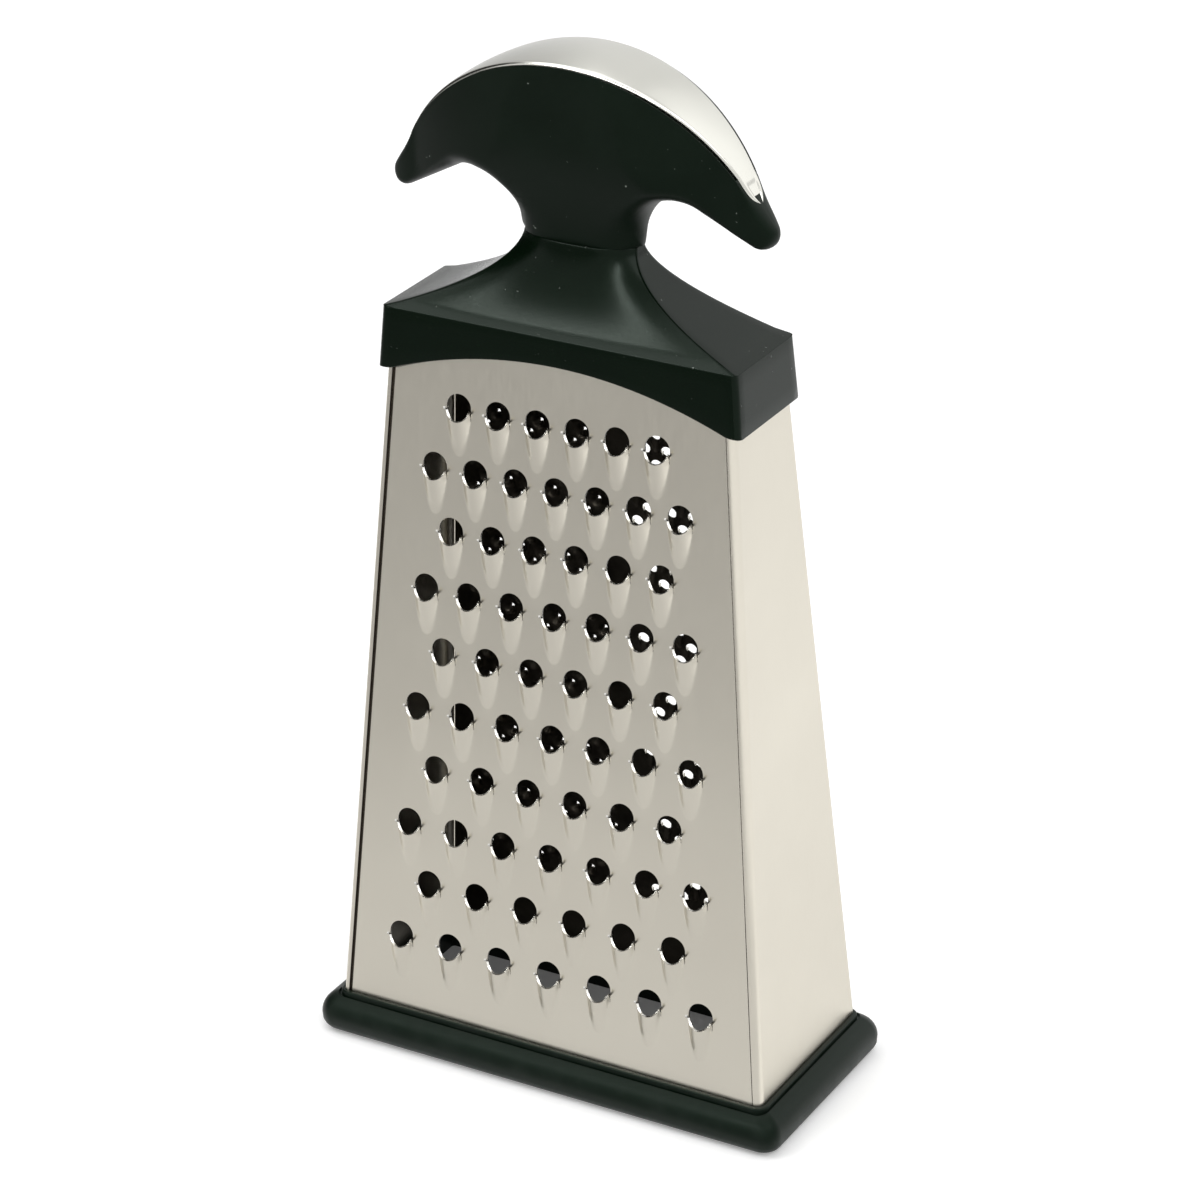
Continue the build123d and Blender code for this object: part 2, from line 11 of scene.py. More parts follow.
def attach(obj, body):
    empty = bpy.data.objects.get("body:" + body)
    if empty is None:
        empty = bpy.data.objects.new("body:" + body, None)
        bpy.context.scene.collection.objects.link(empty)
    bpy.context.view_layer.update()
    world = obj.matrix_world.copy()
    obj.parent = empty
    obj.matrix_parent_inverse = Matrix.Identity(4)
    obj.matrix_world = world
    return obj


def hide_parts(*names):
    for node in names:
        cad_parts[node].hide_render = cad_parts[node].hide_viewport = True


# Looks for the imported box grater: finer meshes for the pieces that show, and materials
# for all of them. Lengths are millimetres in the part's own frame until add_piece,
# which makes them metres.

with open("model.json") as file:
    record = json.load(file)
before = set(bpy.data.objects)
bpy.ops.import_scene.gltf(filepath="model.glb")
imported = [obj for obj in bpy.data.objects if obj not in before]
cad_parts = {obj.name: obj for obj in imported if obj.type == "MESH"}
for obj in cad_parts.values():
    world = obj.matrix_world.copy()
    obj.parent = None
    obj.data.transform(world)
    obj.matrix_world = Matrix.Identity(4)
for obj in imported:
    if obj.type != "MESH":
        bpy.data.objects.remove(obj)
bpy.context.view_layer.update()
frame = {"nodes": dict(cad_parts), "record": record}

MM = 0.001
SHARP_FROM = 38  # degrees between faces of a baked piece that shows as an edge

# Walls, as the part has them. The leans are millimetres of inset per millimetre of height.
WIDTH_AT_TABLE = 117.0
DEPTH_AT_TABLE = 50.6
SIDE_LEAN = 0.0766
FACE_LEAN = 0.0677
SHEET = 0.5
WALL_BOTTOM = 4.15
FACE_TOP = 187.5
BEND_RADIUS = 2.0
BEND_GAP = 0.2
STEP_WIDTH = 2.2
STEP_DEPTH = 0.9
STEP_TUCK = 0.65
STEP_FOLD = (0.5, 0.45)
STEP_FLANK = 0.55

# Coarse teeth.
COARSE_ROWS = 10
COARSE_TOP_COUNT = 6
COARSE_TOP_ROW = 168.7
COARSE_ROW_PITCH = 15.36
COARSE_TOP_PITCH = 10.35
COARSE_PITCH_GROWTH = 0.375

# Fine teeth on the back.
MEDIUM_TOP_ROW = 158.0
MEDIUM_ROWS = 33
MEDIUM_ROW_PITCH = 3.95
RASP_TOP_ROW = 158.5
RASP_ROWS = 37
RASP_ROW_PITCH = 3.5
BACK_TOP_PITCH = 5.8
BACK_PITCH_GROWTH = 0.0118
STRIP_HALF_WIDTH = 4.0
STRIP_CENTRE = 1.5
BACK_MARGIN = 6.5

# Foot ring.
RING_HALF = (63.5, 29.4)
RING_CORNER = 4.5
RING_HEIGHT = 10.2
RING_TOP_ROUND = 5.6
RING_BOTTOM_ROUND = 3.8
RING_SHARPEST = 1.5
RING_LIP_TOP = 10.9
RING_LIP = 1.2
LIP_CORNER = 3.1
LIP_EDGE = 0.25
LIP_MOAT = 0.45
LIP_MOAT_DEPTH = 0.5
RING_GROOVE = 1.7
RING_INNER_WALL = 2.0
RING_INNER_TOP = 8.0
RING_FLOOR = 4.0
FIT_GAP = 0.15

# Cap.
SKIRT_BOTTOM = 174.9
SKIRT_TOP = 190.2
SKIRT_BOTTOM_HALF = (47.1, 14.9)
SKIRT_TOP_HALF = (45.85, 14.1)
SKIRT_ARCH_TOP = 183.6
SKIRT_ARCH_RADIUS = 121.0
RIDGE_ROUND = 1.9
RIM_ROUND_SHARE = 0.16
FLARE_ROUND_SHARE = 0.3
FLARE_TOP = 210.7
FLARE_ROOF = 203.0
FLARE_WALL = 2.3
NECK_HALF_WIDTH = 14.5
NECK_RIDGE = 1.8
NECK_FRONT = 6.9
FLARE_SPREAD = (30.8, 1.87)  # reach and power, as for the next two
FLARE_DEPTH_SPREAD = (11.8, 1.15)
FLARE_FRONT_SPREAD = (6.8, 1.8)
LONG_FACETS = 28
SHORT_FACETS = 8

# Grip and inlay. The grip runs from the seam under the inlay to its open lower edge.
SEAM_TOP = 252.99
SEAM_RADIUS = 49.81
HORN_TIP = (45.8, 218.85)
HORN_RADIUS = 3.3
HORN_RUN_IN = 9.0
FINGER_ARCH = (26.2, 213.5)
FINGER_ARCH_RADIUS = 10.65
UNDERSIDE_SLOPE = 33.0
GRIP_LENGTH = 50.8
GRIP_HALF_DEPTH = 10.7
GRIP_PLAN_POWER = 0.88
HORN_END = 50.1
HORN_HALF_DEPTH = 4.6
HORN_END_POWER = 8.3
GRIP_WAIST = 6.05
GRIP_ROUND = 4.1
HORN_ROUND = 1.4
NECK_ROUND = 7.0
NECK_FLARE = 0.3
WAIST_SPAN = (209.0, 235.0)
NECK_SPAN = (211.0, 224.0)
HORN_SPAN = (30.0, 42.0)
GRIP_PILLOW = 0.09
PILLOW_MIDDLE = 234.0
PILLOW_REACH = 18.5
CREST_TOP = 254.3
CREST_RADIUS = 49.68
CREST_CROWN = 0.8
INLAY_LENGTH = 44.95
INLAY_EDGE = 0.65
INLAY_FOOT = 2.2
INLAY_DISH = 0.3
DISH_FROM = 42.0
DISH_RUN = 0.9
INLAY_STATIONS = 160
SEAM_LEDGE = 0.12
SEAM_GAP = 0.3
SEAM_DROP = 0.8

# Camera, fitted to the photograph.
CAMERA_AT = (450.465, -780.125, 555.74)
CAMERA_AZIMUTH = 29.865
CAMERA_ELEVATION = 25.839
CAMERA_ROLL = -0.9485
CAMERA_LENS = 128.52

# Stage, in metres, watts and degrees. The inner floor ends under the foot ring.
# FLOOR_LOOKS gives name, tone and glow; the inner floor's lower tone and glow are painted shade
# under the object.
FLOOR_LINES = ((-4.0, -0.058, 0.058, 4.0), (-4.0, -0.025, 0.025, 4.0))
FLOOR_LOOKS = (("floor_paper", 0.93, 0.24), ("floor_inside_painted_shade", 0.5, 0.05))
FILL = 0.5
# Name, place, aim, size and power.
LAMPS = (
    ("key", (0.9, -0.5, 1.3), (0, 0, 0.12), (1.0, 1.0), 8.0),
    ("front", (-0.75, -0.72, 1.4), (0, 0, 0.2), (0.7, 0.7), 5.5),
    ("top", (-0.3, 0.2, 1.6), (0, 0, 0.1), (1.4, 1.4), 7.0),
)
# The cards are seen in reflections only. This one lies on the floor before the coarse
# face: corners, direction away from the face, tones.
FLOOR_CARD = ((-0.75, -0.033), (0.22, -0.033), (-0.1417, -1.7414), (-2.0799, -0.6986))
FLOOR_CARD_AWAY = (-0.474, -0.881, 0.0)
FLOOR_CARD_LIFT = 0.002
FLOOR_CARD_TONES = ((0.13, 0.83), (0.36, 0.53), (0.60, 0.53), (0.80, 0.25))
# Upright cards: name, radius, turns, heights, axis of the tones, tones.
CARDS = (
    ("wall_card", 1.25, (90, 158), (0.0, 1.6), (1.0, 0.0, 0.0),
     ((-0.9, 0.62), (-0.5, 0.95), (0.2, 1.02))),
    ("soft_card", 1.2, (230, 288), (0.72, 0.98), (0.0, 0.0, 1.0),
     ((0.72, 0.8), (0.82, 17.0), (0.88, 17.0), (0.98, 0.8))),
    ("back_card", 1.3, (20, 96), (0.3, 1.6), (1.0, 0.0, 0.3),
     ((0.2, 1.0), (0.6, 1.25), (0.9, 1.5), (1.5, 1.5))),
    ("dark_card", 1.1, (160, 214), (0.0, 1.25), (0.0, 0.0, 1.0),
     ((0.0, 0.03), (1.0, 0.03), (1.25, 0.3))),
)


def half_width(z):
    return WIDTH_AT_TABLE / 2 - SIDE_LEAN * z


def half_depth(z):
    return DEPTH_AT_TABLE / 2 - FACE_LEAN * z


def smoothstep(value):
    value = min(max(value, 0.0), 1.0)
    return value * value * (3 - 2 * value)


def along_face(z):
    return z * math.hypot(1, FACE_LEAN)


# Materials

class Look:
    """A procedural material built step by step around one Principled shader."""

    def __init__(self, name, colour, roughness, metallic=0.0, **settings):
        self.material = bpy.data.materials.new(name)
        self.material.use_nodes = True
        self.nodes = self.material.node_tree.nodes
        self.links = self.material.node_tree.links
        self.shader = self.nodes["Principled BSDF"]
        self.shader.inputs["Base Color"].default_value = (*colour, 1.0)
        self.shader.inputs["Roughness"].default_value = roughness
        self.shader.inputs["Metallic"].default_value = metallic
        for socket, value in settings.items():
            self.shader.inputs[socket.replace("_", " ")].default_value = value
        self.place = self.nodes.new("ShaderNodeTexCoord").outputs["Object"]

    def noise(self, scale, detail=3.0, stretch=(1.0, 1.0, 1.0)):
        """Noise over the object; scale counts per metre, stretch multiplies it by axis."""
        mapping = self.nodes.new("ShaderNodeMapping")
        mapping.inputs["Scale"].default_value = stretch
        self.links.new(self.place, mapping.inputs["Vector"])
        noise = self.nodes.new("ShaderNodeTexNoise")
        noise.inputs["Scale"].default_value = scale
        noise.inputs["Detail"].default_value = detail
        self.links.new(mapping.outputs["Vector"], noise.inputs["Vector"])
        return noise.outputs["Fac"]

    def spread(self, source, low, high, start=0.3, end=0.7):
        """Map a 0 to 1 pattern onto a range of values."""
        node = self.nodes.new("ShaderNodeMapRange")
        ends = {"From Min": start, "From Max": end, "To Min": low, "To Max": high}
        for socket, value in ends.items():
            node.inputs[socket].default_value = value
        self.links.new(source, node.inputs["Value"])
        return node.outputs["Result"]

    def vary_colour(self, source, first, second, start=0.3, end=0.7):
        ramp = self.nodes.new("ShaderNodeValToRGB")
        for element, at, colour in zip(ramp.color_ramp.elements, (start, end), (first, second)):
            element.position = at
            element.color = (*colour, 1.0)
        self.links.new(source, ramp.inputs["Fac"])
        self.links.new(ramp.outputs["Color"], self.shader.inputs["Base Color"])
        self.colour = ramp.outputs["Color"]

    def speck(self, source, colour, start, end):
        """Lay specks of a colour over the varied base where the pattern peaks."""
        mix = self.nodes.new("ShaderNodeMix")
        mix.data_type = "RGBA"
        mix.inputs[7].default_value = (*colour, 1.0)
        self.links.new(self.spread(source, 0.0, 1.0, start, end), mix.inputs[0])
        self.links.new(self.colour, mix.inputs[6])
        self.links.new(mix.outputs[2], self.shader.inputs["Base Color"])

    def vary_roughness(self, source, low, high):
        self.links.new(self.spread(source, low, high), self.shader.inputs["Roughness"])

    def bump(self, source, depth):
        """Raise the surface by depth millimetres where the pattern is high."""
        node = self.nodes.new("ShaderNodeBump")
        node.inputs["Distance"].default_value = depth * MM
        node.inputs["Strength"].default_value = 1.0
        self.links.new(source, node.inputs["Height"])
        self.links.new(node.outputs["Normal"], self.shader.inputs["Normal"])


def steel_look():
    look = Look("steel_sheet", (0.66, 0.623, 0.541), 0.30, metallic=1.0)
    grain = look.noise(2600, detail=1.0, stretch=(1.0, 1.0, 0.06))
    cloud = look.noise(26, detail=3.0)
    look.vary_colour(cloud, (0.644, 0.608, 0.527), (0.675, 0.639, 0.554))
    look.vary_roughness(grain, 0.28, 0.33)
    look.bump(grain, 0.002)
    return look.material


def inside_look():
    """The inner faces of the pressed sheets, darkened as painted shade for the inside of the
    box.
    """
    look = Look("steel_inside_painted_shade", (0.07, 0.062, 0.05), 0.45, metallic=1.0)
    stain_and_shade = look.noise(220, detail=4.0)
    # Painted shade: both tones are far darker than the outer steel, mottled at random.
    look.vary_colour(stain_and_shade, (0.055, 0.048, 0.038), (0.085, 0.075, 0.06))
    look.vary_roughness(stain_and_shade, 0.38, 0.52)
    return look.material


def cut_edge_look():
    look = Look("steel_cut_edge", (0.86, 0.85, 0.80), 0.25, metallic=1.0)
    burr = look.noise(2400, detail=2.0)
    look.vary_roughness(burr, 0.18, 0.36)
    look.bump(burr, 0.02)
    return look.material


def rubber_look():
    tint = (0.18, 0.21, 0.19, 1)
    look = Look("foot_rubber", (0.002, 0.006, 0.003), 0.40, Specular_Tint=tint)
    grain = look.noise(2600, detail=2.0)
    dust = look.noise(140, detail=5.0)
    look.vary_colour(dust, (0.001, 0.005, 0.002), (0.006, 0.010, 0.007), 0.45, 0.75)
    look.vary_roughness(dust, 0.36, 0.50)
    look.bump(grain, 0.008)
    return look.material


def cap_look():
    tint = (0.36, 0.42, 0.38, 1)
    look = Look("cap_plastic", (0.0005, 0.004, 0.001), 0.22, IOR=1.36, Specular_Tint=tint)
    grain = look.noise(3000, detail=2.0)
    wear = look.noise(60, detail=4.0)
    dust = look.noise(900, detail=1.0)
    look.vary_colour(wear, (0.0003, 0.0035, 0.0008), (0.0008, 0.0045, 0.0012))
    look.speck(dust, (0.10, 0.11, 0.10), 0.76, 0.82)
    look.vary_roughness(grain, 0.17, 0.26)
    look.bump(grain, 0.015)
    return look.material


def inner_look():
    look = Look("inner_plastic", (0.04, 0.04, 0.04), 0.5)
    grain = look.noise(2000, detail=2.0)
    look.vary_roughness(grain, 0.42, 0.60)
    look.bump(grain, 0.01)
    return look.material


def grip_look():
    tint = (0.15, 0.18, 0.16, 1)
    look = Look("grip_rubber", (0.0006, 0.004, 0.001), 0.46, Specular_Tint=tint)
    grain = look.noise(3400, detail=2.0)
    wear = look.noise(70, detail=4.0)
    dust = look.noise(750, detail=1.0)
    look.vary_colour(wear, (0.0004, 0.0035, 0.0008), (0.0012, 0.0048, 0.0018))
    look.speck(dust, (0.14, 0.16, 0.14), 0.765, 0.81)
    look.vary_roughness(wear, 0.42, 0.54)
    look.bump(grain, 0.012)
    return look.material


def chrome_look():
    look = Look("polished_trim", (0.64, 0.635, 0.585), 0.19, metallic=1.0)
    smudge = look.noise(90, detail=5.0)
    fine = look.noise(1500, detail=2.0, stretch=(0.1, 1.0, 1.0))
    look.vary_colour(smudge, (0.63, 0.625, 0.575), (0.65, 0.645, 0.595))
    look.vary_roughness(smudge, 0.17, 0.22)
    look.bump(fine, 0.001)
    return look.material


def screw_look():
    look = Look("screw_steel", (0.55, 0.54, 0.52), 0.35, metallic=1.0)
    turned = look.noise(1800, detail=3.0)
    look.vary_roughness(turned, 0.28, 0.45)
    look.bump(turned, 0.01)
    return look.material


LOOKS = {
    "steel": steel_look(),
    "inside": inside_look(),
    "cut_edge": cut_edge_look(),
    "foot_rubber": rubber_look(),
    "cap_plastic": cap_look(),
    "inner_plastic": inner_look(),
    "grip_rubber": grip_look(),
    "polished_trim": chrome_look(),
    "screw_steel": screw_look(),
}
NODE_LOOKS = {part["node"]: part["material_slot"] for part in frame["record"]["subparts"]}


def add_piece(name, vertices, faces, looks, node, sharp_angle=35.0):
    """A mesh piece in place of a CAD node, from millimetre points."""
    mesh = bpy.data.meshes.new(name)
    mesh.from_pydata([Vector(v) * MM for v in vertices], [], faces)
    piece = bpy.data.objects.new(name, mesh)
    bpy.context.collection.objects.link(piece)
    for look in looks:
        mesh.materials.append(LOOKS[look])
    clean_mesh(mesh, sharp_angle)
    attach(piece, "root")
    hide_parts(node)
    return piece


def clean_mesh(mesh, sharp_angle):
    """Weld doubled points, face outwards, and shade smooth between sharp edges."""
    work = bmesh.new()
    work.from_mesh(mesh)
    bmesh.ops.remove_doubles(work, verts=work.verts, dist=1e-7)
    bmesh.ops.recalc_face_normals(work, faces=work.faces)
    work.to_mesh(mesh)
    work.free()
    mesh.polygons.foreach_set("use_smooth", [True] * len(mesh.polygons))
    mesh.set_sharp_from_angle(angle=math.radians(sharp_angle))


def bake(piece):
    """Apply a piece's modifiers, so that its edges can be shaded by their final angles."""
    graph = bpy.context.evaluated_depsgraph_get()
    mesh = bpy.data.meshes.new_from_object(piece.evaluated_get(graph))
    piece.modifiers.clear()
    piece.data = mesh
    return mesh


# Pressed sheets

def face_point(side, x, y, height):
    """A point of the front (-1) or back (+1) face from its place on the sheet."""
    steep = math.hypot(1, FACE_LEAN)
    out = side * half_depth(0) + (side * height - side * FACE_LEAN * y) / steep
    return (-side * x, out, (y + FACE_LEAN * height) / steep)


class Tooth:
    """A round hole over a raised ramp that slides down to the sheet below it.

    x runs across and s down the sheet from the hole's centre. The ramp's section is an
    arc that sinks steadily; beside the hole's lower half it is sheared free of the sheet.
    """

    FREE_FROM = math.radians(56)  # turn from the hole's foot where the shear begins
    ROUND_SHARE = 0.96  # share of the section's radius where the flanks turn straight
    FLANK_SLOPE = 3.5
    EDGE_INSET = 0.03  # how far the free edge draws in at the top, as a share
    CROWDING = 0.8  # below 1, rows lie closer towards the sheet
    BORDER_RISE = 0.35
    BORDER_FADE = 0.8

    def __init__(self, hole, section, crest, reach, shear, lift, border, soft, columns, rows):
        self.hole = hole
        self.section = section
        self.crest = crest
        self.reach = reach
        self.shear = shear
        self.lift = lift
        self.border = border
        self.soft = soft
        self.columns = columns
        self.rows = rows
        fall = crest * (1 - shear / reach)
        self.side = math.sqrt(2 * section * fall - fall * fall)

    def raised(self, x, s):
        """Height of the ramp with a soft bend where it meets the sheet."""
        crest = self.crest * (1 - s / self.reach)
        safe = min(abs(x), self.ROUND_SHARE * self.section)
        height = crest - self.section + math.sqrt(self.section**2 - safe**2)
        height -= self.FLANK_SLOPE * (abs(x) - safe)
        return (height + math.sqrt(height * height + self.soft**2)) / 2

    def free_edge(self, s):
        """Distance out and height of the sheared edge."""
        part = 1 - s / self.shear
        return self.hole * (1 - self.EDGE_INSET * part), self.lift * part

    def surface(self, x, s):
        """Height of the ramp, drawn to the free edge where it is sheared."""
        height = self.raised(x, s)
        if s < self.shear:
            out, top = self.free_edge(max(s, 0.0))
            height += (top - self.raised(out, s)) * (abs(x) / out) ** 4
        return height

    def outline(self, share):
        """Where the ramp meets the sheet, from the tip (0) to the shear's end (1)."""
        x = self.side * math.sin(share * math.pi / 2)
        crest = self.section - math.sqrt(self.section**2 - x * x)
        return x * self.hole / self.side, self.reach * (1 - crest / self.crest)

    def column(self, angle):
        """Points (x, s, height) from the rim out to the sheet or to the free edge."""
        sign = -1 if angle < 0 else 1
        turn = abs(angle)
        rim = (self.hole * math.sin(turn), self.hole * math.cos(turn))
        points = []
        if turn <= self.FREE_FROM:
            share = turn / self.FREE_FROM
            edge = self.outline(share)
            near = self.outline(min(share + 0.01, 1.0))
            far = self.outline(max(share - 0.01, 0.0))
            along = Vector((near[0] - far[0], near[1] - far[1])).normalized()
            fade = smoothstep((share - self.BORDER_FADE) / (1 - self.BORDER_FADE))
            width = self.border * (1 - fade)
            outer = (edge[0] - along.y * width, edge[1] + along.x * width)
            for row in range(self.rows + 1):
                part = (row / self.rows) ** self.CROWDING
                x = rim[0] + (edge[0] - rim[0]) * part
                s = rim[1] + (edge[1] - rim[1]) * part
                points.append((x, s, self.surface(x, s)))
            middle = ((edge[0] + outer[0]) / 2, (edge[1] + outer[1]) / 2)
            points.append((*middle, self.BORDER_RISE * self.raised(*middle)))
            points.append((*outer, 0.0))
        else:
            share = (turn - self.FREE_FROM) / (math.pi / 2 - self.FREE_FROM)
            s_end = self.shear * (1 - share)
            out = self.free_edge(s_end)[0]
            start = (min(rim[0], out), rim[1])
            for row in range(self.rows + 3):
                part = min(row / self.rows, 1.0) ** self.CROWDING
                x = start[0] + (out - start[0]) * part
                s = start[1] + (s_end - start[1]) * part
                points.append((x, s, self.surface(x, s)))
        return [(sign * x, s, height) for x, s, height in points]

    def patch(self):
        """Vertices and quads of the ramp, and the loop that it leaves in the sheet."""
        shares = [2 * step / self.columns - 1 for step in range(self.columns + 1)]
        angles = {math.pi / 2 * share for share in shares}
        angles = sorted(angles | {-self.FREE_FROM, self.FREE_FROM})
        strips = [self.column(angle) for angle in angles]
        length = len(strips[0])
        vertices = [(x, -s, height) for strip in strips for x, s, height in strip]
        faces = []
        for step in range(len(strips) - 1):
            for row in range(length - 1):
                first = step * length + row
                faces.append((first, first + 1, first + length + 1, first + length))
        border = [
            (strip[-1][0], -strip[-1][1])
            for strip, angle in zip(strips, angles)
            if abs(angle) <= self.FREE_FROM
        ]
        arc = [math.pi * step / self.columns for step in range(self.columns + 1)]
        over = [(self.hole * math.cos(turn), self.hole * math.sin(turn)) for turn in arc]
        return vertices, faces, border + over


class Dimple:
    """A round point pushed outwards and torn open at its tip, in four tongues."""

    TONGUES = 4
    TEAR = 0.3
    TONGUE_RISE = 0.22

    def __init__(self, radius, opening, rise, columns, rows):
        self.radius = radius
        self.opening = opening
        self.rise = rise
        self.columns = columns
        self.rows = rows

    def patch(self):
        vertices = []
        faces = []
        length = self.rows + 1
        for step in range(self.columns):
            turn = 2 * math.pi * step / self.columns
            torn = 0.5 + 0.5 * math.cos(self.TONGUES * turn)
            opening = self.opening * (1 - self.TEAR * torn)
            for row in range(length):
                part = row / self.rows
                out = self.radius + (opening - self.radius) * part
                height = self.rise * smoothstep(part) * (1 + self.TONGUE_RISE * torn * part)
                vertices.append((out * math.cos(turn), out * math.sin(turn), height))
        for step in range(self.columns):
            for row in range(self.rows):
                first = step * length + row
                after = (step + 1) % self.columns * length + row
                faces.append((first, first + 1, after + 1, after))
        loop = [vertices[step * length][:2] for step in range(self.columns)]
        return vertices, faces, loop


def inside_loops(points, loops):
    """Which points lie inside any of the loops."""
    hit = np.zeros(len(points), bool)
    for loop in loops:
        ring = np.array(loop)
        low, high = ring.min(axis=0), ring.max(axis=0)
        near = np.where(np.all((points > low) & (points < high), axis=1) & ~hit)[0]
        if len(near) == 0:
            continue
        x, y = points[near, 0][:, None], points[near, 1][:, None]
        ax, ay = ring[:, 0], ring[:, 1]
        bx, by = np.roll(ax, -1), np.roll(ay, -1)
        crosses = ((ay > y) != (by > y)) & (x < (bx - ax) * (y - ay) / (by - ay + 1e-30) + ax)
        hit[near[crosses.sum(axis=1) % 2 == 1]] = True
    return hit


def pressed_face(side, groups):
    """One face sheet with its teeth, before it gets its thickness.

    Gives its vertices, its faces, and how many faces at the end belong to the seam.
    """
    heights = (WALL_BOTTOM, FACE_TOP)
    left = [(STEP_WIDTH - half_width(z), along_face(z)) for z in heights]
    right = [(half_width(z) - BEND_RADIUS - BEND_GAP, along_face(z)) for z in reversed(heights)]
    flat = left + right
    edges = [(step, (step + 1) % 4) for step in range(4)]
    loops = []
    vertices = []
    faces = []
    for tooth, places in groups:
        patch, quads, loop = tooth.patch()
        for x, y in places:
            base = len(vertices)
            vertices += [face_point(side, x + px, y + py, height) for px, py, height in patch]
            faces += [tuple(base + index for index in quad) for quad in quads]
            loops.append([(x + px, y + py) for px, py in loop])
    for loop in loops:
        base = len(flat)
        flat += loop
        edges += [(base + step, base + (step + 1) % len(loop)) for step in range(len(loop))]
    result = delaunay_2d_cdt([Vector(point) for point in flat], edges, [], 0, 1e-6)
    spots = np.array([tuple(point) for point in result[0]])
    triangles = np.array([tuple(face) for face in result[2]])
    centres = spots[triangles].mean(axis=1)
    kept = triangles[~inside_loops(centres, loops)]
    base = len(vertices)
    vertices += [face_point(side, x, y, 0.0) for x, y in spots]
    faces += [tuple(int(base + index) for index in triangle) for triangle in kept]
    step_vertices, step_faces = seam_step(side, len(vertices))
    return vertices + step_vertices, faces + step_faces, len(step_faces)


def seam_step(side, base):
    """The edge strip that steps down to lie under the folded hem."""
    profile = [(STEP_WIDTH, 0.0)]
    for turn in (15, 40, 65, 90):
        angle = math.radians(turn)
        across = STEP_WIDTH - STEP_FOLD[0] * math.sin(angle)
        profile.append((across, -STEP_FOLD[1] * (1 - math.cos(angle))))
    profile += [(STEP_WIDTH - STEP_FLANK, -STEP_DEPTH), (STEP_TUCK, -STEP_DEPTH)]
    vertices = []
    for z in (WALL_BOTTOM, FACE_TOP):
        for across, height in profile:
            vertices.append(face_point(side, across - half_width(z), along_face(z), height))
    count = len(profile)
    faces = [
        (base + step, base + step + 1, base + count + step + 1, base + count + step)
        for step in range(count - 1)
    ]
    return vertices, faces


def coarse_places():
    """Centres of the coarse teeth, in staggered rows that fan out downwards."""
    for row in range(COARSE_ROWS):
        count = COARSE_TOP_COUNT + row % 2
        pitch = COARSE_TOP_PITCH + COARSE_PITCH_GROWTH * row
        z = COARSE_TOP_ROW - COARSE_ROW_PITCH * row
        for column in range(count):
            yield (column - (count - 1) / 2) * pitch, along_face(z)


def zone_places(top_row, rows, row_pitch, side):
    """Centres in one zone of the back face, staggered and fanning out downwards."""
    for row in range(rows):
        z = top_row - row_pitch * row
        pitch = BACK_TOP_PITCH + BACK_PITCH_GROWTH * (top_row - z)
        distance = STRIP_HALF_WIDTH + side * STRIP_CENTRE + (0.25 + row % 2 * 0.5) * pitch
        while distance < half_width(z) - BACK_MARGIN:
            yield side * distance, along_face(z)
            distance += pitch


def sheet_piece(name, side, groups, node):
    """A pressed sheet with its thickness and cut edges; its inner face and its seam step are
    dark as painted shade.
    """
    vertices, faces, in_seam = pressed_face(side, groups)
    piece = add_piece(name, vertices, faces, ("steel", "cut_edge", "inside"), node)
    # The seam step takes the dark inside look: a painted shadow in the groove under the hem.
    for polygon in piece.data.polygons[-in_seam:]:
        polygon.material_index = 2
    face_out(piece, Vector((0, side, 0)))
    thick = piece.modifiers.new("sheet", "SOLIDIFY")
    thick.thickness = SHEET * MM
    thick.offset = -1.0
    thick.material_offset_rim = 1
    # The inner face takes the dark inside look: painted shade inside the box.
    thick.material_offset = 2
    mesh = bake(piece)
    mesh.polygons.foreach_set("use_smooth", [True] * len(mesh.polygons))
    mesh.set_sharp_from_angle(angle=math.radians(SHARP_FROM))
    return piece


def face_out(piece, direction):
    """Turn an open sheet's faces so that most of its area looks along direction."""
    mesh = piece.data
    facing = sum(polygon.area * polygon.normal.dot(direction) for polygon in mesh.polygons)
    if facing < 0:
        mesh.flip_normals()


def make_front():
    tooth = Tooth(
        hole=3.2, section=3.37, crest=2.47, reach=11.7, shear=3.2, lift=1.0,
        border=0.6, soft=0.22, columns=32, rows=9,
    )
    return sheet_piece("coarse_face", -1, [(tooth, list(coarse_places()))], "front_panel")


def make_back():
    medium = Tooth(
        hole=1.55, section=1.95, crest=1.3, reach=4.4, shear=0.7, lift=0.3,
        border=0.2, soft=0.12, columns=14, rows=4,
    )
    rasp = Dimple(radius=2.15, opening=0.75, rise=1.5, columns=16, rows=5)
    groups = [
        (medium, list(zone_places(MEDIUM_TOP_ROW, MEDIUM_ROWS, MEDIUM_ROW_PITCH, -1))),
        (rasp, list(zone_places(RASP_TOP_ROW, RASP_ROWS, RASP_ROW_PITCH, 1))),
    ]
    return sheet_piece("fine_face", 1, groups, "back_panel")


# Foot ring

def rounded_loop(half, corner, heights, steps):
    """Closed loop round a rounded rectangle; heights are for its ends and its sides."""
    points = []
    centres = ((1, 1), (-1, 1), (-1, -1), (1, -1))
    for number, (sx, sy) in enumerate(centres):
        for step in range(steps + 1):
            turn = math.pi / 2 * (number + step / steps)
            x = sx * (half[0] - corner) + corner * math.cos(turn)
            y = sy * (half[1] - corner) + corner * math.sin(turn)
            share = math.cos(turn) ** 2
            points.append((x, y, heights[0] * share + heights[1] * (1 - share)))
    return points


def tube_faces(loops, closed=True):
    """Quads between loops of equal length, and from the last back to the first."""
    count = len(loops[0])
    last = len(loops) if closed else len(loops) - 1
    faces = []
    for level in range(last):
        after = (level + 1) % len(loops)
        for step in range(count):
            turn = (step + 1) % count
            faces.append((
                level * count + step, level * count + turn,
                after * count + turn, after * count + step,
            ))
    return faces


